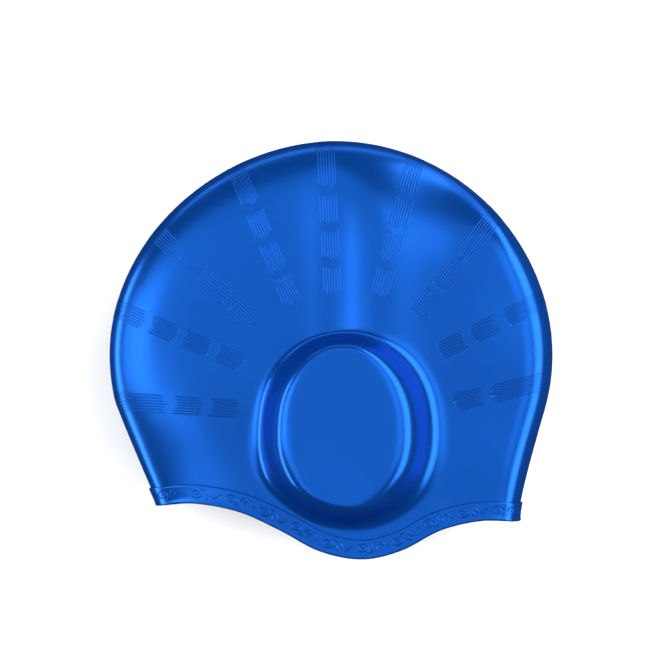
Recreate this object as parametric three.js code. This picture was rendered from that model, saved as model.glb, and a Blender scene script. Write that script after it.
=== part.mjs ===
// Swim cap with ear pockets: one thin moulding of soft silicone rubber, in the flat round form that it
// has off the head, lying on one of its ear pockets.
// The two faces of the crown meet in a rolled fold that runs from the forehead over the top to the nape.
// An oval ear pocket stands out of each face, and a thicker band runs round the wavy opening.
// Millimetres. X runs from one fold to the other, Y from the opening to the crown, and Z up, away from
// the table. The origin is on the table, under the middle of the cap's outline.
import * as THREE from "three";
import { mergeVertices } from "three/addons/utils/BufferGeometryUtils.js";

// Overall sizes of the cap as it lies
const CAP_WIDTH = 231; // from fold to fold at the widest
const CAP_HEIGHT = 217; // from the top of the crown to the lowest point of the ear flap
const BODY_DEPTH = 36; // from face to face where the crown is evenly rounded
const RIM_DEPTH = 34; // from face to face at the middle of the opening
const EAR_DEPTH = 76; // over the flat tops of both ear pockets

// Rubber
const WALL = 0.7;
const EAR_WALL = 1.2; // the ear pockets, which are moulded thicker to keep their shape
const BAND_HEIGHT = 10; // the thick band round the opening
const BAND_PROUD = 1.2; // how far the band stands out of the crown
const BAND_STEP = 0.4; // how much of the band's height its upper step takes
const BAND_BEVEL = 0.8; // the same for the eased lower edge
const CORNER_PULL = 8; // over 1, and the higher the nearer the rim's corners the band turns to the fold

// The fold seen from above: a round crown that leans a little to one side, and two tapering sides
const CROWN_REACH = 111; // from the widest level up to the top
const CROWN_SQUARENESS = 1.945; // 2 is an ellipse, and less is a little more pointed
const CROWN_LEAN = 0.025; // sideways shift of the crown's top, as a share of its reach
const FOLD_ROLL = 54; // how far in from the fold the faces still curve down to it
const RIGHT_ROLL = 17; // the same along the right side, where the rubber folds more tightly
const RIGHT_FROM = 0.5; // where the fold begins to tighten, as a share of half the width
const RIGHT_RUN = 0.3; // and over which further share it does so
const ROLL_POWER = 2.4; // 2 is an elliptical fold, and more is a squarer one
const CROWN_RISE = 60; // how far above the rim the faces reach their full depth
const LEFT_SIDE = { arcEnds: 192, bendAcross: -0.97, bendUp: -0.282 };
const RIGHT_SIDE = { arcEnds: -15.8, bendAcross: 0.836, bendUp: -0.763 };

// The wavy rim, from the left corner to the right one, as shares of half the width and half the height
const RIM = [
  { across: -0.78, up: -0.751 },
  { across: -0.614, up: -0.736 },
  { across: -0.411, up: -0.775 },
  { across: -0.231, up: -0.861 },
  { across: -0.05, up: -0.962 },
  { across: 0.14, up: -1 },
  { across: 0.313, up: -0.959 },
  { across: 0.494, up: -0.861 },
  { across: 0.676, up: -0.818 },
  { across: 0.848, up: -0.825 },
];

// Ear pocket: a flat oval top, and a wall that sweeps out all round to a wider foot on the face
const EAR = { across: 0.043, up: -0.363 }; // its middle, as shares of half the width and height
const EAR_TOP = { width: 42, height: 76 };
const EAR_FOOT = { width: 114, height: 110 };
const EAR_SQUARENESS = 2.3; // 2 is an ellipse
const FOOT_SHIFT = { across: 5, up: -3.8 }; // from the middle of the flat top
const WALL_STEEPNESS = 3; // of the wall's middle, against its gently bent shoulder and foot
const EAR_FADE = 18; // how far above the band the pocket's lower wall runs out

// Shallow waves of each face that run from the ear pocket up to the crown
const WAVES = [
  { aside: 21, rise: 2.4, width: 18 },
  { aside: -5, rise: -2.4, width: 14 },
];
const WAVE_FADE = 40; // how far below the crown's edge the waves begin to run out

// Soft swells and hollows of each face, placed by shares of half the width and half the height
const SWELLS = [
  { across: 0.68, up: 0.05, rise: 1.6, reach: 27 },
  { across: 0.5, up: 0.88, rise: -4.6, reach: 28 },
  { across: -0.62, up: -0.38, rise: 1.4, reach: 26 },
  { across: -0.35, up: 0.1, rise: -1.2, reach: 24 },
  { across: 0.66, up: -0.62, rise: 1.2, reach: 20 },
];

// Fineness of the faceted skin
const FOLD_STEPS = 48;
const RIM_STEPS = 26;
const TOP_RINGS = [0.55, 1]; // shares of the ear pocket's flat top
const WALL_RINGS = 7;
const WALL_CROWDING = 1.4; // over 1 sets the rings closer together at the wall's middle
const FACE_RINGS = 9;
const FACE_CROWDING = 2.2; // over 1 sets the rings closer together towards the fold
const FOOT_CLEAR = 3; // least distance between the rings round the pocket, and from them to the band
const OUTLINE_SAMPLES = 240;
const SLOPE_STEP = 0.5; // how far to each side the rim's slope is measured

const halfWidth = CAP_WIDTH / 2;
const halfHeight = CAP_HEIGHT / 2;
const crownLevel = halfHeight - CROWN_REACH;
const earX = EAR.across * halfWidth;
const earY = EAR.up * halfHeight;
const rimLeft = RIM[0].across * halfWidth;
const rimRight = RIM[RIM.length - 1].across * halfWidth;

const clamp01 = (v) => Math.min(Math.max(v, 0), 1);
const smooth = (v) => clamp01(v) ** 2 * (3 - 2 * clamp01(v));

// Height of the rim at x: a smooth curve through the rows of RIM, level past its two corners.
function rimY(x) {
  const across = THREE.MathUtils.clamp(x, rimLeft, rimRight) / halfWidth;
  const last = RIM.length - 1;
  let k = 0;
  while (k < last - 1 && across > RIM[k + 1].across) k++;
  const slope = (i) => {
    const before = RIM[Math.max(i - 1, 0)];
    const after = RIM[Math.min(i + 1, last)];
    return (after.up - before.up) / (after.across - before.across);
  };
  const span = RIM[k + 1].across - RIM[k].across;
  const t = (across - RIM[k].across) / span;
  const up =
    RIM[k].up * (1 - 3 * t ** 2 + 2 * t ** 3) +
    RIM[k + 1].up * (3 * t ** 2 - 2 * t ** 3) +
    span * slope(k) * (t - 2 * t ** 2 + t ** 3) +
    span * slope(k + 1) * (t ** 3 - t ** 2);
  return up * halfHeight;
}

// The fold from the left corner of the rim over the crown to the right corner.
function foldPath() {
  const arcPoint = (degrees) => {
    const angle = THREE.MathUtils.degToRad(degrees);
    return [halfWidth * Math.cos(angle), crownLevel + CROWN_REACH * Math.sin(angle)];
  };
  const [startX, startY] = arcPoint(LEFT_SIDE.arcEnds);
  const path = new THREE.Path();
  path.moveTo(rimLeft, rimY(rimLeft));
  path.quadraticCurveTo(
    LEFT_SIDE.bendAcross * halfWidth,
    LEFT_SIDE.bendUp * halfHeight,
    startX,
    startY,
  );
  path.absellipse(
    0,
    crownLevel,
    halfWidth,
    CROWN_REACH,
    THREE.MathUtils.degToRad(LEFT_SIDE.arcEnds),
    THREE.MathUtils.degToRad(RIGHT_SIDE.arcEnds),
    true,
  );
  path.quadraticCurveTo(
    RIGHT_SIDE.bendAcross * halfWidth,
    RIGHT_SIDE.bendUp * halfHeight,
    rimRight,
    rimY(rimRight),
  );
  return path;
}

const fold = foldPath();
const foldLength = fold.getLength();

// The point of the fold that lies this far along it from the left corner, with the crown's true
// squareness and lean.
function foldPoint(along) {
  const p = fold.getPointAt(clamp01(along / foldLength));
  const above = p.y - crownLevel;
  if (above <= 0) return p;
  const n = CROWN_SQUARENESS;
  const pull = ((Math.abs(p.x) / halfWidth) ** n + (above / CROWN_REACH) ** n) ** (-1 / n);
  const risen = above * pull;
  return p.set(p.x * pull + (CROWN_LEAN * risen ** 2) / CROWN_REACH, crownLevel + risen);
}

const foldSamples = Array.from({ length: OUTLINE_SAMPLES + 1 }, (_, k) =>
  foldPoint((foldLength * k) / OUTLINE_SAMPLES),
);

// Shortest distance from (x, y) to the fold.
function distanceToFold(x, y) {
  let best = Infinity;
  for (let k = 0; k < OUTLINE_SAMPLES; k++) {
    const a = foldSamples[k];
    const b = foldSamples[k + 1];
    const dx = b.x - a.x;
    const dy = b.y - a.y;
    const t = clamp01(((x - a.x) * dx + (y - a.y) * dy) / (dx * dx + dy * dy));
    best = Math.min(best, Math.hypot(x - a.x - t * dx, y - a.y - t * dy));
  }
  return best;
}

// Reach of one of the ear pocket's ovals from its middle, in a direction.
function ovalReach(oval, angle) {
  const across = Math.abs(Math.cos(angle)) / (oval.width / 2);
  const up = Math.abs(Math.sin(angle)) / (oval.height / 2);
  return (across ** EAR_SQUARENESS + up ** EAR_SQUARENESS) ** (-1 / EAR_SQUARENESS);
}

// Reach of the ear pocket's foot from the same middle, which the foot doesn't share.
function footReach(angle) {
  const shift = FOOT_SHIFT.across * Math.cos(angle) + FOOT_SHIFT.up * Math.sin(angle);
  return ovalReach(EAR_FOOT, angle) + shift;
}

// How much a face stands out beyond its even roundness: its waves, swells and hollows.
function faceRise(x, y) {
  const total = (rises) => rises.reduce((sum, rise) => sum + rise, 0);
  const waves = WAVES.map(
    (wave) => wave.rise * Math.exp(-(((x - earX - wave.aside) / wave.width) ** 2)),
  );
  const runsUp =
    smooth((2 * (y - earY)) / EAR_TOP.height) * smooth((halfHeight - y) / WAVE_FADE);
  const swells = SWELLS.map((swell) => {
    const away = Math.hypot(x - swell.across * halfWidth, y - swell.up * halfHeight);
    return swell.rise * Math.exp(-((away / swell.reach) ** 2));
  });
  return runsUp * total(waves) + total(swells);
}

// How much of the ear pocket's height the skin has at (x, y): 1 on its flat top, 0 beyond its foot.
function earShare(x, y) {
  const angle = Math.atan2(y - earY, x - earX);
  const top = ovalReach(EAR_TOP, angle);
  const out = clamp01((Math.hypot(x - earX, y - earY) - top) / (footReach(angle) - top));
  const fromFoot = (1 - out) ** WALL_STEEPNESS;
  const fromTop = out ** WALL_STEEPNESS;
  const runOut = smooth((y - rimY(x) - BAND_HEIGHT) / EAR_FADE);
  return (runOut * fromFoot) / (fromFoot + fromTop);
}

// Height of the upper face over the cap's middle plane. The lower face is its mirror image.
function faceHeight(x, y) {
  const aboveRim = smooth((y - rimY(x)) / CROWN_RISE);
  const depth = (RIM_DEPTH + (BODY_DEPTH - RIM_DEPTH) * aboveRim) / 2 + faceRise(x, y) * aboveRim;
  const onTheRight = smooth((x / halfWidth - RIGHT_FROM) / RIGHT_RUN);
  const roll = THREE.MathUtils.lerp(FOLD_ROLL, RIGHT_ROLL, onTheRight);
  const inFromFold = clamp01(distanceToFold(x, y) / roll);
  const face = depth * (1 - (1 - inFromFold) ** ROLL_POWER) ** (1 / ROLL_POWER);
  return face + (EAR_DEPTH / 2 - face) * earShare(x, y);
}

// A point on the upper face. proud is how far the outside of the rubber stands out there, and wall
// how far its inside lies below.
function skinPoint(x, y, onFold = false, proud = 0) {
  const wall = WALL + (EAR_WALL - WALL) * earShare(x, y);
  return { x, y, z: onFold ? 0 : faceHeight(x, y), proud, wall };
}

// A point of the band, from its upper edge (down = 0) to the rim (down = 1), by its share of the way
// from the left corner to the right one. At the corners the band's height runs along the fold.
function bandPoint(share, down) {
  const x = THREE.MathUtils.lerp(rimLeft, rimRight, share);
  if (share === 0 || share === 1) {
    const along = BAND_HEIGHT * (1 - down);
    return foldPoint(share === 0 ? along : foldLength - along);
  }
  const slope = (rimY(x + SLOPE_STEP) - rimY(x - SLOPE_STEP)) / (2 * SLOPE_STEP);
  const corner = foldPoint(share < 0.5 ? BAND_HEIGHT : foldLength - BAND_HEIGHT);
  const cornerX = share < 0.5 ? rimLeft : rimRight;
  const towardsCorner = Math.abs(2 * share - 1) ** CORNER_PULL;
  const up = new THREE.Vector2(-slope, 1)
    .normalize()
    .lerp(new THREE.Vector2(corner.x - cornerX, corner.y - rimY(cornerX)).normalize(), towardsCorner)
    .normalize();
  return new THREE.Vector2(x, rimY(x)).addScaledVector(up, BAND_HEIGHT * (1 - down));
}

// Shares along the rim, from right to left and closer together towards the folded corners.
const rimShares = Array.from(
  { length: RIM_STEPS + 1 },
  (_, k) => 0.5 + 0.5 * Math.cos((Math.PI * k) / RIM_STEPS),
);
rimShares[RIM_STEPS] = 0;

// The edge of each face above the band: clockwise over the fold, and back along the band's upper edge.
function faceEdge() {
  const foldStep = (foldLength - 2 * BAND_HEIGHT) / FOLD_STEPS;
  const overTheFold = Array.from({ length: FOLD_STEPS + 1 }, (_, k) => ({
    point: foldPoint(BAND_HEIGHT + foldStep * k),
    onFold: true,
  }));
  const alongTheBand = rimShares
    .slice(1, -1)
    .map((share) => ({ point: bandPoint(share, 0), onFold: false }));
  return [...overTheFold, ...alongTheBand, overTheFold[0]];
}

// Rings of one face, from the middle of the ear pocket out to the fold and the band.
function faceRings() {
  const edge = faceEdge();
  const ringAt = (reach, isEdge = false) =>
    edge.map(({ point, onFold }) => {
      const dx = point.x - earX;
      const dy = point.y - earY;
      const length = Math.hypot(dx, dy);
      const share = reach(Math.atan2(dy, dx), length) / length;
      return skinPoint(earX + dx * share, earY + dy * share, isEdge && onFold);
    });
  const outer = (angle, length) => Math.min(footReach(angle), length - FOOT_CLEAR);
  const inner = (angle, length) =>
    Math.min(ovalReach(EAR_TOP, angle), outer(angle, length) - FOOT_CLEAR);
  const rings = [ringAt(() => 0)];
  for (const share of TOP_RINGS)
    rings.push(ringAt((angle, length) => share * inner(angle, length)));
  for (let k = 1; k <= WALL_RINGS; k++) {
    const fromMiddle = (2 * k) / WALL_RINGS - 1;
    const part = (1 + Math.sign(fromMiddle) * Math.abs(fromMiddle) ** WALL_CROWDING) / 2;
    rings.push(
      ringAt((angle, length) =>
        THREE.MathUtils.lerp(inner(angle, length), outer(angle, length), part),
      ),
    );
  }
  for (let k = 1; k <= FACE_RINGS; k++) {
    const part = 1 - (1 - k / FACE_RINGS) ** FACE_CROWDING;
    rings.push(
      ringAt(
        (angle, length) => THREE.MathUtils.lerp(outer(angle, length), length, part),
        k === FACE_RINGS,
      ),
    );
  }
  return rings;
}

// Rows of the band on one face, from its upper edge to the rim.
function bandRows() {
  const rows = [
    { down: 0, proud: 0 },
    { down: BAND_STEP, proud: BAND_PROUD },
    { down: BAND_HEIGHT / 2, proud: BAND_PROUD },
    { down: BAND_HEIGHT - BAND_BEVEL, proud: BAND_PROUD },
    { down: BAND_HEIGHT, proud: BAND_PROUD / 2 },
  ];
  return rows.map(({ down, proud }) =>
    rimShares.map((share) => {
      const p = bandPoint(share, down / BAND_HEIGHT);
      return skinPoint(p.x, p.y, share === 0 || share === 1, proud);
    }),
  );
}

// The cap's skin with no thickness: both patches of the upper face, and the same turned over.
function capSkin() {
  const positions = [];
  const prouds = [];
  const walls = [];
  const triangle = (corners, side) => {
    const same = (p, q) => p.x === q.x && p.y === q.y;
    if (corners.some((p, k) => same(p, corners[(k + 1) % corners.length]))) return;
    for (const p of side > 0 ? corners : [...corners].reverse()) {
      positions.push(p.x, p.y, side * p.z);
      prouds.push(p.proud);
      walls.push(p.wall);
    }
  };
  for (const rows of [faceRings(), bandRows()])
    for (let i = 0; i + 1 < rows.length; i++)
      for (let j = 0; j + 1 < rows[i].length; j++)
        for (const side of [1, -1]) {
          triangle([rows[i][j], rows[i][j + 1], rows[i + 1][j + 1]], side);
          triangle([rows[i][j], rows[i + 1][j + 1], rows[i + 1][j]], side);
        }
  const skin = new THREE.BufferGeometry();
  skin.setAttribute("position", new THREE.Float32BufferAttribute(positions, 3));
  skin.setAttribute("proud", new THREE.Float32BufferAttribute(prouds, 1));
  skin.setAttribute("wall", new THREE.Float32BufferAttribute(walls, 1));
  const merged = mergeVertices(skin);
  merged.computeVertexNormals();
  return merged;
}

// Gives the skin its rubber: an outside, an inside below it, and a lip along its open edge.
function thicken(skin) {
  const { position, normal, proud, wall } = skin.attributes;
  const count = position.count;
  const points = new Float32Array(count * 6);
  const p = new THREE.Vector3();
  const n = new THREE.Vector3();
  for (let v = 0; v < count; v++) {
    n.fromBufferAttribute(normal, v);
    p.fromBufferAttribute(position, v).addScaledVector(n, proud.getX(v));
    p.toArray(points, v * 3);
    p.fromBufferAttribute(position, v).addScaledVector(n, -wall.getX(v));
    p.toArray(points, (count + v) * 3);
  }
  const corners = skin.index.array;
  const faces = [];
  const edges = new Map();
  for (let f = 0; f < corners.length; f += 3) {
    const [a, b, c] = corners.slice(f, f + 3);
    faces.push(a, b, c, a + count, c + count, b + count);
    for (const [from, to] of [[a, b], [b, c], [c, a]]) edges.set(from + "_" + to, [from, to]);
  }
  for (const [a, b] of edges.values())
    if (!edges.has(b + "_" + a)) faces.push(b, a, a + count, b, a + count, b + count);
  const solid = new THREE.BufferGeometry();
  solid.setAttribute("position", new THREE.BufferAttribute(points, 3));
  solid.setIndex(faces);
  solid.computeVertexNormals();
  return solid;
}

const silicone = new THREE.MeshStandardMaterial({
  color: 0x1258c4,
  roughness: 0.35,
  metalness: 0,
});

const cap = new THREE.Mesh(thicken(capSkin()), silicone);
cap.name = "swim_cap";
cap.position.z = EAR_DEPTH / 2;

const swimCap = new THREE.Group();
swimCap.add(cap);

export default swimCap;
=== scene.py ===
import math

import bpy
import numpy as np
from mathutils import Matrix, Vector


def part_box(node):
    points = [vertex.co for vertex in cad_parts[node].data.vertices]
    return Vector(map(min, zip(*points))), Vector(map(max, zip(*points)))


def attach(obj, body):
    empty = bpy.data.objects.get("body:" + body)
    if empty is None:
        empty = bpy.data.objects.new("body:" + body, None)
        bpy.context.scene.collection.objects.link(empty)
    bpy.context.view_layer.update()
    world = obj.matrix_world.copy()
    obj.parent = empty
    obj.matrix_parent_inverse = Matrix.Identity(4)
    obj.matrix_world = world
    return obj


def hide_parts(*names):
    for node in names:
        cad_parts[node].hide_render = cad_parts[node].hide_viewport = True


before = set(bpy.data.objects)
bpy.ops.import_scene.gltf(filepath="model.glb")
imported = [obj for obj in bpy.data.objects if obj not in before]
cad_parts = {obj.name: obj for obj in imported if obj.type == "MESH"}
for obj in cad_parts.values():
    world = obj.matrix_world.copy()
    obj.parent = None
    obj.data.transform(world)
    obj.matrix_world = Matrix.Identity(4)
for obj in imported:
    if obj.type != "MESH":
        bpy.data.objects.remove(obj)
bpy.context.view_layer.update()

# Crown and ear pockets
# The crown is one thin skin of moulded silicone rubber. Its two faces meet in a rolled fold over
# the forehead, the top and the nape, and an oval pocket stands out of each face to clear the ear.
# All sizes are millimetres, in the frame's axes, with the cap's middle plane at half its height.
MM = 0.001
cap_low, cap_high = (np.array(corner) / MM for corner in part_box("swim_cap"))
CAP_WIDTH, CAP_HEIGHT, EAR_DEPTH = cap_high - cap_low
HALF_WIDTH = CAP_WIDTH / 2
HALF_HEIGHT = CAP_HEIGHT / 2
MIDDLE_PLANE = EAR_DEPTH / 2

CROWN_REACH = 111  # from the widest level up to the top
CROWN_SQUARENESS = 1.945
CROWN_LEAN = 0.025
CROWN_LEVEL = HALF_HEIGHT - CROWN_REACH
LEFT_SIDE = {"arc_ends": 192, "bend_across": -0.97, "bend_up": -0.282}
RIGHT_SIDE = {"arc_ends": -15.8, "bend_across": 0.836, "bend_up": -0.763}

BODY_DEPTH = 36  # from face to face where the crown is evenly rounded
RIM_DEPTH = 34
CROWN_RISE = 60  # height above the rim at which the crown is at its full depth
FOLD_ROLL = 54  # how far in from the fold the face is still rolling over
RIGHT_ROLL = 17  # the same on the right, where the roll is tight
RIGHT_FROM = 0.5
RIGHT_RUN = 0.3
ROLL_POWER = 2.4
FOLD_STEPS = 1200
WALL = 0.7
EAR_WALL = 1.2
BAND_HEIGHT = 10
SLOPE_SPAN = 0.5  # to each side of the place where the rim's slope is taken
CORNER_SHARPNESS = 8  # the higher, the nearer the corner the band starts to follow the fold

RIM_ACROSS = [-0.78, -0.614, -0.411, -0.231, -0.05, 0.14, 0.313, 0.494, 0.676, 0.848]
RIM_UP = [-0.751, -0.736, -0.775, -0.861, -0.962, -1.0, -0.959, -0.861, -0.818, -0.825]

EAR_X = 0.043 * HALF_WIDTH
EAR_Y = -0.363 * HALF_HEIGHT
EAR_TOP = (42, 76)
EAR_FOOT = (114, 110)
EAR_SQUARENESS = 2.3
FOOT_SHIFT = (5, -3.8)
WALL_STEEPNESS = 3
EAR_FADE = 18

WAVES = [
    {"aside": 21, "rise": 2.4, "width": 18},
    {"aside": -5, "rise": -2.4, "width": 14},
]
SWELLS = [
    {"across": 0.68, "up": 0.05, "rise": 1.6, "reach": 27},
    {"across": 0.5, "up": 0.88, "rise": -4.6, "reach": 28},
    {"across": -0.62, "up": -0.38, "rise": 1.4, "reach": 26},
    {"across": -0.35, "up": 0.1, "rise": -1.2, "reach": 24},
    {"across": 0.66, "up": -0.62, "rise": 1.2, "reach": 20},
]
WAVE_FADE = 40


def smooth(v):
    v = np.clip(v, 0, 1)
    return v * v * (3 - 2 * v)


def rim_height(x):
    """Height of the wavy rim at x: a smooth curve through the named rim points."""
    knots = np.array(RIM_ACROSS)
    ups = np.array(RIM_UP)
    slopes = np.empty(len(knots))
    slopes[1:-1] = (ups[2:] - ups[:-2]) / (knots[2:] - knots[:-2])
    slopes[0] = (ups[1] - ups[0]) / (knots[1] - knots[0])
    slopes[-1] = (ups[-1] - ups[-2]) / (knots[-1] - knots[-2])
    across = np.clip(x / HALF_WIDTH, knots[0], knots[-1])
    k = np.clip(np.searchsorted(knots, across) - 1, 0, len(knots) - 2)
    span = knots[k + 1] - knots[k]
    t = (across - knots[k]) / span
    up = (
        ups[k] * (1 - 3 * t**2 + 2 * t**3)
        + ups[k + 1] * (3 * t**2 - 2 * t**3)
        + span * slopes[k] * (t - 2 * t**2 + t**3)
        + span * slopes[k + 1] * (t**3 - t**2)
    )
    return up * HALF_HEIGHT


RIM_LEFT = RIM_ACROSS[0] * HALF_WIDTH
RIM_RIGHT = RIM_ACROSS[-1] * HALF_WIDTH


def fold_curve():
    """The fold from the rim's left corner over the crown to its right corner, evenly stepped."""

    def arc(degrees):
        angle = np.radians(degrees)
        return np.stack(
            [HALF_WIDTH * np.cos(angle), CROWN_LEVEL + CROWN_REACH * np.sin(angle)], -1
        )

    def side(start, bend, end):
        t = np.linspace(0, 1, FOLD_STEPS // 3)[:, None]
        return (1 - t) ** 2 * start + 2 * t * (1 - t) * bend + t**2 * end

    size = np.array([HALF_WIDTH, HALF_HEIGHT])
    left_corner = np.array([RIM_LEFT, rim_height(RIM_LEFT)])
    right_corner = np.array([RIM_RIGHT, rim_height(RIM_RIGHT)])
    left_bend = size * (LEFT_SIDE["bend_across"], LEFT_SIDE["bend_up"])
    right_bend = size * (RIGHT_SIDE["bend_across"], RIGHT_SIDE["bend_up"])
    path = np.concatenate(
        [
            side(left_corner, left_bend, arc(LEFT_SIDE["arc_ends"])),
            arc(np.linspace(LEFT_SIDE["arc_ends"], RIGHT_SIDE["arc_ends"], FOLD_STEPS))[1:-1],
            side(arc(RIGHT_SIDE["arc_ends"]), right_bend, right_corner),
        ]
    )
    above = np.maximum(path[:, 1] - CROWN_LEVEL, 0)
    n = CROWN_SQUARENESS
    share = (np.abs(path[:, 0]) / HALF_WIDTH) ** n + (above / CROWN_REACH) ** n
    pull = np.where(above > 0, share ** (-1 / n), 1)
    path[:, 0] = path[:, 0] * pull + CROWN_LEAN * (above * pull) ** 2 / CROWN_REACH
    path[:, 1] = np.where(above > 0, CROWN_LEVEL + above * pull, path[:, 1])
    along = np.concatenate([[0], np.cumsum(np.hypot(*np.diff(path, axis=0).T))])
    even = np.linspace(0, along[-1], FOLD_STEPS)
    return np.stack([np.interp(even, along, path[:, k]) for k in (0, 1)], -1), along[-1]


FOLD, FOLD_LENGTH = fold_curve()


def fold_point(along):
    """The fold's point at a distance along it from the left corner."""
    steps = np.linspace(0, FOLD_LENGTH, len(FOLD))
    return np.stack([np.interp(along, steps, FOLD[:, k]) for k in (0, 1)], -1)


def distance_to_fold(x, y):
    """Shortest distance from each (x, y) to the fold, taken through every third of its points."""
    points = np.stack([np.ravel(x), np.ravel(y)], -1)
    a = FOLD[:-1:3]
    b = np.concatenate([a[1:], FOLD[-1:]])
    run = b - a
    length2 = (run**2).sum(-1)
    nearest = np.empty(len(points))
    chunk = 4000
    for first in range(0, len(points), chunk):
        to = points[first : first + chunk, None, :] - a
        t = np.clip((to * run).sum(-1) / length2, 0, 1)
        miss = to - t[..., None] * run
        nearest[first : first + chunk] = np.sqrt((miss**2).sum(-1)).min(1)
    return nearest.reshape(np.shape(x))


def oval_reach(oval, angle):
    across = np.abs(np.cos(angle)) / (oval[0] / 2)
    up = np.abs(np.sin(angle)) / (oval[1] / 2)
    return (across**EAR_SQUARENESS + up**EAR_SQUARENESS) ** (-1 / EAR_SQUARENESS)


def foot_reach(angle):
    """Reach of the pocket's foot, which lies a little to the right of its flat top and lower."""
    shift = FOOT_SHIFT[0] * np.cos(angle) + FOOT_SHIFT[1] * np.sin(angle)
    return oval_reach(EAR_FOOT, angle) + shift


def ear_share(x, y):
    """1 on the flat top of the ear pocket, falling to 0 at the foot of its wall."""
    angle = np.arctan2(y - EAR_Y, x - EAR_X)
    top = oval_reach(EAR_TOP, angle)
    out = (np.hypot(x - EAR_X, y - EAR_Y) - top) / (foot_reach(angle) - top)
    from_top = np.clip(out, 0, 1) ** WALL_STEEPNESS
    from_foot = np.clip(1 - out, 0, 1) ** WALL_STEEPNESS
    run_out = smooth((y - rim_height(x) - BAND_HEIGHT) / EAR_FADE)
    return run_out * from_foot / (from_foot + from_top)


def face_rise(x, y):
    """The soft swells of the face, and the shallow waves that run up from its pocket."""
    aside = x - EAR_X
    above = y - EAR_Y
    runs_up = smooth(2 * above / EAR_TOP[1]) * smooth((HALF_HEIGHT - y) / WAVE_FADE)
    waves = sum(w["rise"] * np.exp(-(((aside - w["aside"]) / w["width"]) ** 2)) for w in WAVES)
    swells = sum(
        s["rise"]
        * np.exp(
            -((x - s["across"] * HALF_WIDTH) ** 2 + (y - s["up"] * HALF_HEIGHT) ** 2)
            / s["reach"] ** 2
        )
        for s in SWELLS
    )
    return swells + runs_up * waves


def face_height(x, y):
    """Height of the upper face over the middle plane. The lower face is its mirror image."""
    above_rim = smooth((y - rim_height(x)) / CROWN_RISE)
    depth = (RIM_DEPTH + (BODY_DEPTH - RIM_DEPTH) * above_rim) / 2
    depth = depth + face_rise(x, y) * above_rim
    on_the_right = smooth((x / HALF_WIDTH - RIGHT_FROM) / RIGHT_RUN)
    roll = FOLD_ROLL + (RIGHT_ROLL - FOLD_ROLL) * on_the_right
    in_from_fold = np.clip(distance_to_fold(x, y) / roll, 0, 1)
    face = depth * (1 - (1 - in_from_fold) ** ROLL_POWER) ** (1 / ROLL_POWER)
    return face + (EAR_DEPTH / 2 - face) * ear_share(x, y)


def band_place(turn, down):
    """Place on the band, where turn goes from 0 at the left corner over the upper side to 1 at
    the right corner and back below to 2, and down goes from 0 at the band's upper edge to its
    full height."""
    turn, down = np.broadcast_arrays(np.asarray(turn, float), np.asarray(down, float))
    share = 0.5 - 0.5 * np.cos(math.pi * turn)
    x = RIM_LEFT + (RIM_RIGHT - RIM_LEFT) * share
    slope = (rim_height(x + SLOPE_SPAN) - rim_height(x - SLOPE_SPAN)) / (2 * SLOPE_SPAN)
    up = np.stack([-slope, np.ones_like(slope)], -1)
    up /= np.linalg.norm(up, axis=-1, keepdims=True)
    height = BAND_HEIGHT - down
    left = share < 0.5
    along = np.where(left, height, FOLD_LENGTH - height)
    corner = fold_point(along) - np.where(left[..., None], FOLD[0], FOLD[-1])
    corner_share = (np.abs(2 * share - 1) ** CORNER_SHARPNESS)[..., None]
    place = np.stack([x, rim_height(x)], -1)
    place = place + up * height[..., None] * (1 - corner_share) + corner * corner_share
    at_fold = np.abs(np.sin(math.pi * turn)) < 1e-9
    side = np.where(np.sin(math.pi * turn) < 0, -1, 1)
    z = np.where(at_fold, 0, face_height(place[..., 0], place[..., 1]) * side)
    return np.concatenate([place, z[..., None]], -1)


def weld(points, faces):
    """Joins the points that lie in one place, such as the two faces' points on the fold."""
    places, joined = np.unique(np.round(points, 4), axis=0, return_inverse=True)
    return places, joined.reshape(-1)[faces]


def grid_faces(rows, columns, closed=False):
    """Four-cornered faces of a grid of points, closed when its last column meets its first."""
    row, column = np.mgrid[0 : rows - 1, 0 : columns - (0 if closed else 1)]
    beside = (column + 1) % columns
    corners = [row * columns + column, row * columns + beside]
    corners += [(row + 1) * columns + beside, (row + 1) * columns + column]
    return np.stack(corners, -1).reshape(-1, 4)


def thicken(points, faces, wall):
    """Gives an open skin its rubber: an inside at the wall's depth, and a lip along its edge."""
    normals = np.zeros_like(points)
    corners = points[faces]
    across = np.cross(corners[:, 2] - corners[:, 0], corners[:, 3] - corners[:, 1])
    for k in range(4):
        np.add.at(normals, faces[:, k], across)
    normals /= np.linalg.norm(normals, axis=1, keepdims=True)
    inside = points - normals * wall[:, None]
    edges = {(a, b) for face in faces.tolist() for a, b in zip(face, face[1:] + face[:1]) if a != b}
    rim = np.array(sorted(edge for edge in edges if edge[::-1] not in edges))
    lip = np.stack([rim[:, 1], rim[:, 0], rim[:, 0] + len(points), rim[:, 1] + len(points)], -1)
    all_faces = np.concatenate([faces, faces[:, ::-1] + len(points), lip])
    return np.concatenate([points, inside]), all_faces


def mesh_object(name, points, faces, material):
    """A smooth-shaded object from points in millimetres about the cap's middle plane."""
    mesh = bpy.data.meshes.new(name)
    lifted = (np.asarray(points) + (0, 0, MIDDLE_PLANE)) * MM
    mesh.from_pydata(lifted.tolist(), [], [list(dict.fromkeys(face)) for face in faces.tolist()])
    mesh.materials.append(material)
    mesh.polygons.foreach_set("use_smooth", np.ones(len(mesh.polygons), bool))
    mesh.update()
    piece = bpy.data.objects.new(name, mesh)
    bpy.context.scene.collection.objects.link(piece)
    return piece


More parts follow.
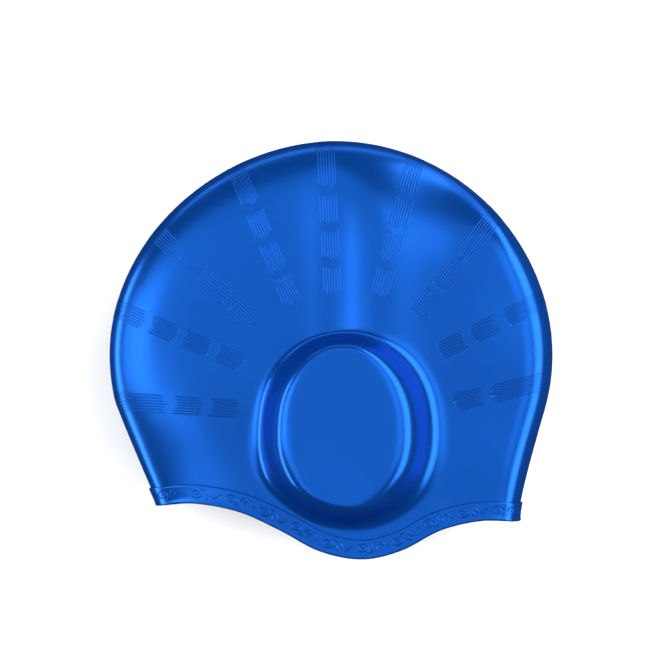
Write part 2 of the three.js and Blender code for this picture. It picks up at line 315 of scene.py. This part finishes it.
# The silicone is pearly satin rubber: one blue, a little deeper in places, with a faint grain.
SILICONE_BLUE = (0.0022, 0.056, 0.303, 1)
SILICONE_DEEP = (0.0017, 0.043, 0.25, 1)
PEARL = 0.62
PEARL_TINT = (0.2, 0.55, 1, 1)
SATIN_LOW = 0.21
SATIN_HIGH = 0.27
CLOUD_SCALE = 22
GRAIN_SCALE = 1400
GRAIN_STRENGTH = 0.12
GRAIN_DEPTH = 0.0001
SOFTNESS = 0.08  # how much of the light sinks into the rubber
GLOSS_INDEX = 1.45


def silicone_material():
    material = bpy.data.materials.new("blue_silicone")
    material.use_nodes = True
    nodes = material.node_tree.nodes
    links = material.node_tree.links
    shader = nodes["Principled BSDF"]
    place = nodes.new("ShaderNodeTexCoord")

    cloud = nodes.new("ShaderNodeTexNoise")
    cloud.inputs["Scale"].default_value = CLOUD_SCALE
    cloud.inputs["Detail"].default_value = 3
    links.new(place.outputs["Object"], cloud.inputs["Vector"])

    tint = nodes.new("ShaderNodeMix")
    tint.data_type = "RGBA"
    tint.inputs["A"].default_value = SILICONE_DEEP
    tint.inputs["B"].default_value = SILICONE_BLUE
    links.new(cloud.outputs["Fac"], tint.inputs["Factor"])
    links.new(tint.outputs["Result"], shader.inputs["Base Color"])

    satin = nodes.new("ShaderNodeMapRange")
    satin.inputs["From Min"].default_value = 0.3
    satin.inputs["From Max"].default_value = 0.7
    satin.inputs["To Min"].default_value = SATIN_LOW
    satin.inputs["To Max"].default_value = SATIN_HIGH
    links.new(cloud.outputs["Fac"], satin.inputs["Value"])
    links.new(satin.outputs["Result"], shader.inputs["Roughness"])

    grain = nodes.new("ShaderNodeTexNoise")
    grain.inputs["Scale"].default_value = GRAIN_SCALE
    grain.inputs["Detail"].default_value = 2
    links.new(place.outputs["Object"], grain.inputs["Vector"])
    bump = nodes.new("ShaderNodeBump")
    bump.inputs["Strength"].default_value = GRAIN_STRENGTH
    bump.inputs["Distance"].default_value = GRAIN_DEPTH
    links.new(grain.outputs["Fac"], bump.inputs["Height"])
    links.new(bump.outputs["Normal"], shader.inputs["Normal"])

    shader.inputs["Subsurface Weight"].default_value = SOFTNESS
    shader.inputs["Subsurface Radius"].default_value = (0.0004, 0.001, 0.002)
    shader.inputs["Subsurface Scale"].default_value = 1
    shader.inputs["IOR"].default_value = GLOSS_INDEX
    shader.inputs["Metallic"].default_value = PEARL
    shader.inputs["Specular Tint"].default_value = PEARL_TINT
    return material


silicone = silicone_material()

# The crown's rings run from the middle of the ear pocket out to the fold and down into the band.
FOLD_COLUMNS = 216
RIM_COLUMNS = 84
TOP_RINGS = [0, 0.35, 0.7, 0.9, 1]
WALL_RINGS = 24
FACE_RINGS = 40
FACE_CROWDING = 2
BAND_LAP = 2  # how far the crown's skin runs down inside the band
FOOT_CLEAR = 3  # the least room between the rings of the top, the foot and the edge


def crown_rings():
    """Places on one face, ring by ring, with the columns clockwise over the fold and back."""
    turns = np.linspace(1, 0, RIM_COLUMNS + 2)[1:-1]
    reach = BAND_HEIGHT - BAND_LAP
    over = fold_point(np.linspace(reach, FOLD_LENGTH - reach, FOLD_COLUMNS))
    edge = np.concatenate([over, band_place(turns, BAND_LAP)[:, :2]])
    out = edge - (EAR_X, EAR_Y)
    length = np.linalg.norm(out, axis=1)
    angle = np.arctan2(out[:, 1], out[:, 0])
    foot = np.minimum(foot_reach(angle), length - FOOT_CLEAR)
    top = np.minimum(oval_reach(EAR_TOP, angle), foot - FOOT_CLEAR)
    wall_parts = np.arange(1, WALL_RINGS + 1) / WALL_RINGS
    face_parts = 1 - (1 - np.arange(1, FACE_RINGS + 1) / FACE_RINGS) ** FACE_CROWDING
    reaches = [share * top for share in TOP_RINGS]
    reaches += [top + (foot - top) * part for part in wall_parts]
    reaches += [foot + (length - foot) * part for part in face_parts]
    plan = (EAR_X, EAR_Y) + out * (np.array(reaches) / length)[..., None]
    heights = face_height(plan[..., 0], plan[..., 1])
    heights[-1, :FOLD_COLUMNS] = 0
    return np.concatenate([plan, heights[..., None]], -1)


rings = crown_rings()
upper_faces = grid_faces(*rings.shape[:2], closed=True)
upper_points = rings.reshape(-1, 3)
crown_points, crown_faces = weld(
    np.concatenate([upper_points, upper_points * (1, 1, -1)]),
    np.concatenate([upper_faces, upper_faces[:, ::-1] + len(upper_points)]),
)
crown_wall = WALL + (EAR_WALL - WALL) * ear_share(crown_points[:, 0], crown_points[:, 1])
crown = mesh_object("crown", *thicken(crown_points, crown_faces, crown_wall), silicone)
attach(crown, "root")
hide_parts("swim_cap")

# Rim band
# The thick strip round the opening is part of the same moulding. It stands out of the crown with a
# sharp step, and its lower edge is a smooth, slightly fuller border.
BAND_TURNS = 720  # columns round both sides of the opening
BAND_PROUD = 1.2
FIELD_PROUD = 1.05
FIELD_TOP = 0.9
FIELD_BOTTOM = 8.0
BAND_INSIDE = -(WALL + 0.02)
TURN_STEP = 0.008
DOWN_STEP = 0.2
# The band's section: how far down from its upper edge, and how far out of the crown's skin.
BAND_SECTION = [
    (0.0, 0.0),
    (0.02, 0.85 * FIELD_PROUD),
    (0.12, FIELD_PROUD),
    (FIELD_TOP, FIELD_PROUD),
    (3.0, FIELD_PROUD),
    (5.0, FIELD_PROUD),
    (7.0, FIELD_PROUD),
    (FIELD_BOTTOM, FIELD_PROUD),
    (FIELD_BOTTOM + 0.3, 0.5 * (BAND_PROUD + FIELD_PROUD)),
    (FIELD_BOTTOM + 0.6, BAND_PROUD),
    (9.3, BAND_PROUD),
    (9.75, 0.85 * BAND_PROUD),
    (BAND_HEIGHT, 0.45 * BAND_PROUD),
    (BAND_HEIGHT, -0.2),
    (9.85, BAND_INSIDE + 0.12),
    (9.6, BAND_INSIDE),
    (5.0, BAND_INSIDE),
    (0.3, BAND_INSIDE),
    (0.0, BAND_INSIDE + 0.15),
]


def band_surface(turn, down, proud):
    """Places at a distance out of the band's skin, and the skin's outward normals there."""
    turn, down, proud = np.broadcast_arrays(turn, down, proud)
    round_the_rim = band_place(turn + TURN_STEP, down) - band_place(turn - TURN_STEP, down)
    to_the_rim = band_place(turn, down + DOWN_STEP) - band_place(turn, down - DOWN_STEP)
    normal = np.cross(to_the_rim, round_the_rim)
    normal /= np.linalg.norm(normal, axis=-1, keepdims=True)
    return band_place(turn, down) + normal * proud[..., None], normal


turns = np.linspace(0, 2, BAND_TURNS, endpoint=False)
downs, prouds = (np.array(column)[:, None] for column in zip(*BAND_SECTION))
band_points, _ = band_surface(turns[None], downs, prouds)
band_rows = np.concatenate([band_points, band_points[:1]])
band_faces = grid_faces(*band_rows.shape[:2], closed=True)
rim_band = mesh_object("rim_band", *weld(band_rows.reshape(-1, 3), band_faces), silicone)
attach(rim_band, "root")
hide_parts("swim_cap")

# Rib strips
# Nine strips of fine ribs stand like rays round each ear pocket. Each strip is seven low ribs
# moulded on the skin and broken by curved gaps. Its outermost length runs over the fold to the
# other side.
RIB_PITCH = 1.43
RIBS = 7
RIB_WIDTH = 0.78
RIB_HEIGHT = 0.16
RIB_ROOT = 0.3  # how far a rib reaches into the skin
RIB_LENGTH = 15.2
RIB_GAP = 3.2
GAP_BOW = 1.3  # how much nearer the pocket the middle rib ends than the outer ones
RIB_TAPER = 0.7
RIB_TIP = 0.35  # a rib's width at its very end, as a share of its full width
RIB_STEPS = 10
FOLD_RIB_STEPS = 33
RIB_SPAN = 0.15  # to each side of a rib where the slope of the skin is taken
RAYS = [
    {"foot": (1.0, 27.6), "bearing": 93.0, "lengths": 4},
    {"foot": (-19.8, 22.9), "bearing": 112.5, "lengths": 4},
    {"foot": (-39.1, 12.5), "bearing": 136.8, "lengths": 4},
    {"foot": (-44.8, -7.3), "bearing": 157.0, "lengths": 4},
    {"foot": (-46.9, -30.8), "bearing": 176.4, "lengths": 3},
    {"foot": (24.5, 26.6), "bearing": 75.0, "lengths": 4},
    {"foot": (43.8, 16.2), "bearing": 52.4, "lengths": 3},
    {"foot": (55.3, -1.6), "bearing": 26.8, "lengths": 3},
    {"foot": (63.1, -27.6), "bearing": 13.3, "lengths": 2},
]
# A rib's section in shares of half its width and of its height. Below 0 it is rooted in the skin.
RIGHT_HALF = [(0.28, 0.96), (0.72, 0.62), (1, 0), (1, -1)]
HALF_ROUND = [(-across, up) for across, up in reversed(RIGHT_HALF)] + RIGHT_HALF


def fold_crossing(start, heading):
    """Distance from start to the fold in a direction."""
    to = FOLD - start
    aside = to[:, 0] * heading[1] - to[:, 1] * heading[0]
    ahead = to @ heading
    k = np.nonzero((aside[:-1] * aside[1:] <= 0) & (ahead[:-1] > 0))[0][0]
    part = aside[k] / (aside[k] - aside[k + 1])
    return ahead[k] + (ahead[k + 1] - ahead[k]) * part


def relief_bar(path, normal, width, height, root):
    """Points and faces of a low half-round bar along a path on the skin, closed at both ends."""
    run = np.gradient(path, axis=0)
    aside = np.cross(run, normal)
    aside /= np.linalg.norm(aside, axis=1, keepdims=True)
    section = np.array(HALF_ROUND)
    rise = np.where(section[:, 1] < 0, -root, section[:, 1] * height[:, None])
    points = path[:, None] + aside[:, None] * (section[:, 0] * width[:, None] / 2)[..., None]
    points = points + normal[:, None] * rise[..., None]
    count = len(section)
    faces = grid_faces(len(path), count, closed=True)
    k = np.arange(1, count // 2)
    cap = np.stack([k - 1, k, count - 1 - k, count - k], -1)
    last = (len(path) - 1) * count
    return points.reshape(-1, 3), np.concatenate([faces, cap, cap[:, ::-1] + last])


def join_bars(bars):
    """One set of points and faces from many bars."""
    points, faces, first = [], [], 0
    for bar_points, bar_faces in bars:
        points.append(bar_points)
        faces.append(bar_faces + first)
        first += len(bar_points)
    return np.concatenate(points), np.concatenate(faces)


def mirrored(bars):
    return [(points * (1, 1, -1), faces[:, ::-1]) for points, faces in bars]


def rib_path(ray, offset, start, end, over_the_fold):
    """A rib's path and normals, from start to end along its ray, or from start on over the fold."""
    bearing = math.radians(ray["bearing"])
    heading = np.array([math.cos(bearing), math.sin(bearing)])
    aside = np.array([heading[1], -heading[0]])
    lines = []
    for line in (offset - RIB_SPAN, offset, offset + RIB_SPAN):
        foot = np.array(ray["foot"]) + aside * line
        to_fold = fold_crossing(foot, heading)
        if over_the_fold:
            turn = np.linspace(-1, 1, FOLD_RIB_STEPS)
            inward = (to_fold - start) * turn**2
        else:
            turn = np.full(RIB_STEPS, -1.0)
            inward = to_fold - np.linspace(start, end, RIB_STEPS)
        plan = foot + heading * (to_fold - inward)[:, None]
        height = np.where(inward > 1e-6, face_height(plan[:, 0], plan[:, 1]), 0)
        lines.append(np.concatenate([plan, (-np.sign(turn) * height)[:, None]], 1))
    normal = np.cross(lines[2] - lines[0], np.gradient(lines[1], axis=0))
    normal /= np.linalg.norm(normal, axis=1, keepdims=True)
    return lines[1], normal


def tapered(path, width, height):
    """Widths and heights along a bar that runs out at both ends."""
    along = np.concatenate([[0], np.cumsum(np.linalg.norm(np.diff(path, axis=0), axis=1))])
    part = np.sqrt(np.clip(np.minimum(along, along[-1] - along) / RIB_TAPER, 0, 1))
    return width * (RIB_TIP + (1 - RIB_TIP) * part), height * part


inner_ribs = []
fold_ribs = []
for ray in RAYS:
    for rib in range(RIBS):
        from_middle = rib - (RIBS - 1) / 2
        bow = GAP_BOW * (2 * from_middle / (RIBS - 1)) ** 2
        for length in range(ray["lengths"]):
            start = length * (RIB_LENGTH + RIB_GAP) + bow
            end = start + RIB_LENGTH
            is_last = length == ray["lengths"] - 1
            path, normal = rib_path(ray, from_middle * RIB_PITCH, start, end, is_last)
            bar = relief_bar(path, normal, *tapered(path, RIB_WIDTH, RIB_HEIGHT), RIB_ROOT)
            (fold_ribs if is_last else inner_ribs).append(bar)
ribs = join_bars(inner_ribs + mirrored(inner_ribs) + fold_ribs)
rib_strips = mesh_object("rib_strips", *ribs, silicone)
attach(rib_strips, "root")

# Band scrolls
# A running ornament of plain curls, leaves and dots is moulded in low relief on the band's field.
# The curls stand and hang in turn, and the row is the same on both sides of the cap.
SCROLL_HEIGHT = 0.34
SCROLL_ROOT = 0.2
STEM_WIDTH = 0.9
CURL_REACH = (3.5, 2.8)  # along the band and across it
CURL_TURNS = 1.2
CURL_START = -50
CURL_SHRINK = 0.62
CURL_STEPS = 34
TAIL_REACH = (2.6, -0.7)
TAIL_BOW = (0.4, 1.0)
TAIL_STEPS = 8
STEM_PLACES = [0, 0.2, 0.8, 1]
STEM_SWELL = [0.5, 1, 0.8, 1.3]  # the stem's width at those places, in shares of STEM_WIDTH
LEAF_BOW = 0.15
LEAF_STEPS = 9
STROKE_TAPER = 0.12
MOTIFS = 11
END_CLEAR = 7.5
RIM_STEPS = 400
FIELD_MIDDLE = (FIELD_TOP + FIELD_BOTTOM) / 2
LEAVES = [
    {"along": 0.1, "up": 0.1, "length": 1.3, "tilt": 0, "width": 1.2},
    {"along": 6.0, "up": 1.0, "length": 3.8, "tilt": 52, "width": 1.3},
    {"along": 7.9, "up": -0.5, "length": 3.6, "tilt": 60, "width": 1.2},
    {"along": 10.2, "up": 0.7, "length": 3.2, "tilt": -38, "width": 1.2},
    {"along": 12.6, "up": -1.0, "length": 1.3, "tilt": 0, "width": 1.2},
]

rim_turns = np.linspace(0, 1, RIM_STEPS)
rim_line = band_place(rim_turns, FIELD_MIDDLE)
rim_run = np.concatenate([[0], np.cumsum(np.linalg.norm(np.diff(rim_line, axis=0), axis=1))])
motif_pitch = (rim_run[-1] - 2 * END_CLEAR) / MOTIFS


def curl():
    """A spiral stem in the plane of the field, from its open end in to its eye."""
    part = np.linspace(0, 1, CURL_STEPS)
    angle = np.radians(CURL_START) + part * CURL_TURNS * 2 * math.pi
    shrink = 1 - CURL_SHRINK * part
    stem = np.stack([np.cos(angle), np.sin(angle)], -1) * CURL_REACH * shrink[:, None]
    lead = np.linspace(1, 0, TAIL_STEPS)[:-1, None]
    tail = stem[0] + lead * TAIL_REACH + lead**2 * TAIL_BOW
    path = np.concatenate([tail, stem])
    swell = np.interp(np.linspace(0, 1, len(path)), STEM_PLACES, STEM_SWELL)
    return path, STEM_WIDTH * swell


def leaf(row):
    """A short stroke, widest at its middle, bowed a little."""
    part = np.linspace(-0.5, 0.5, LEAF_STEPS)
    tilt = math.radians(row["tilt"])
    heading = np.array([math.cos(tilt), math.sin(tilt)])
    aside = np.array([-heading[1], heading[0]])
    middle = np.array([row["along"], row["up"]])
    bow = LEAF_BOW * row["length"] * (1 - 4 * part**2)
    path = middle + heading * (part * row["length"])[:, None] + aside * bow[:, None]
    return path, row["width"] * np.sqrt(np.clip(1 - (2 * part) ** 2, 0.04, 1))


def scroll_bar(path, width, first, flip):
    """A stroke of the ornament laid on the band's field, first millimetres along the rim."""
    along = first + path[:, 0]
    turn = np.interp(along, rim_run, rim_turns)
    place, normal = band_surface(turn, FIELD_MIDDLE - flip * path[:, 1], FIELD_PROUD)
    ends = np.linspace(0, 1, len(path))
    height = SCROLL_HEIGHT * np.sqrt(np.clip(np.minimum(ends, 1 - ends) / STROKE_TAPER, 0.02, 1))
    return relief_bar(place, normal, width, height, SCROLL_ROOT)


scroll_bars = []
for motif in range(MOTIFS):
    flip = 1 if motif % 2 == 0 else -1
    first = END_CLEAR + CURL_REACH[0] + motif * motif_pitch
    strokes = [curl()] + [leaf(row) for row in LEAVES]
    scroll_bars += [scroll_bar(path, width, first, flip) for path, width in strokes]
scrolls = join_bars(scroll_bars + mirrored(scroll_bars))
band_scrolls = mesh_object("band_scrolls", *scrolls, silicone)
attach(band_scrolls, "root")

# Table, light and camera
# The cap lies on a plain pale table, under one wide bank of light and with smaller lights to its
# left and right and beyond its crown. The camera looks straight down.
TABLE_SIZE = 6
TABLE_DROP = 0.0001  # keeps the table just clear of the pocket that lies on it
TABLE_GREY = (0.72, 0.73, 0.74, 1)
TABLE_GLOW = 0.14


def table_material():
    material = bpy.data.materials.new("pale_table")
    material.use_nodes = True
    shader = material.node_tree.nodes["Principled BSDF"]
    shader.inputs["Base Color"].default_value = TABLE_GREY
    shader.inputs["Roughness"].default_value = 0.8
    shader.inputs["Emission Color"].default_value = (1, 1, 1, 1)
    shader.inputs["Emission Strength"].default_value = TABLE_GLOW
    return material


bpy.ops.mesh.primitive_plane_add(size=TABLE_SIZE, location=(0, 0, -TABLE_DROP))
table = bpy.context.object
table.name = "table"
table.data.materials.append(table_material())
table.visible_glossy = False

# Each light's bearing is counted from the picture's right, its slant from straight overhead.
LIGHTS = {
    "overhead_bank": {"bearing": 90, "slant": 6, "away": 2.2, "size": (4.4, 2.15), "level": 1.62},
    "left_softbox": {"bearing": 176, "slant": 44, "away": 2.0, "size": (0.9, 1.15), "level": 5.4},
    "left_window": {"bearing": 185, "slant": 79, "away": 3.0, "size": (3.6, 0.8), "level": 12.0},
    "left_card": {"bearing": 207, "slant": 22, "away": 1.9, "size": (0.6, 0.5), "level": 2.1},
    "right_card": {"bearing": 18, "slant": 24, "away": 1.9, "size": (1.3, 0.6), "level": 2.2},
    "right_window": {"bearing": 14, "slant": 60, "away": 3.0, "size": (5.6, 1.7), "level": 8.0},
    "far_window": {"bearing": 98, "slant": 80, "away": 3.0, "size": (4.6, 0.8), "level": 3.0},
}
for name, row in LIGHTS.items():
    lamp = bpy.data.lights.new(name, "AREA")
    lamp.shape = "RECTANGLE"
    lamp.size, lamp.size_y = row["size"]
    lamp.energy = row["level"] * math.pi * lamp.size * lamp.size_y
    holder = bpy.data.objects.new(name, lamp)
    bpy.context.scene.collection.objects.link(holder)
    bearing, slant = math.radians(row["bearing"]), math.radians(row["slant"])
    flat = row["away"] * math.sin(slant)
    up = row["away"] * math.cos(slant)
    holder.location = (flat * math.cos(bearing), flat * math.sin(bearing), up)
    holder.rotation_euler = (-holder.location).to_track_quat("-Z", "Y").to_euler()

WORLD_LEVEL = 0.06
world = bpy.data.worlds.new("studio")
world.use_nodes = True
world.node_tree.nodes["Background"].inputs["Color"].default_value = (0.95, 0.97, 1, 1)
world.node_tree.nodes["Background"].inputs["Strength"].default_value = WORLD_LEVEL
bpy.context.scene.world = world
bpy.context.scene.view_settings.view_transform = "Standard"

PHOTO_PIXELS = 670
PIXEL = 0.5215 * MM  # size of a pixel of the photograph at the cap's middle plane
CAP_SHIFT = (-4, -14)  # pixels from the picture's middle to the cap's, to the right and up
CAMERA_HEIGHT = 1.6
SENSOR_WIDTH = 36

camera_data = bpy.data.cameras.new("camera")
camera = bpy.data.objects.new("camera", camera_data)
bpy.context.scene.collection.objects.link(camera)
camera.location = (-CAP_SHIFT[0] * PIXEL, -CAP_SHIFT[1] * PIXEL, CAMERA_HEIGHT)
camera_data.sensor_width = SENSOR_WIDTH
to_the_cap = CAMERA_HEIGHT - MIDDLE_PLANE * MM
camera_data.lens = SENSOR_WIDTH * to_the_cap / (PHOTO_PIXELS * PIXEL)
bpy.context.scene.camera = camera

bpy.context.view_layer.update()
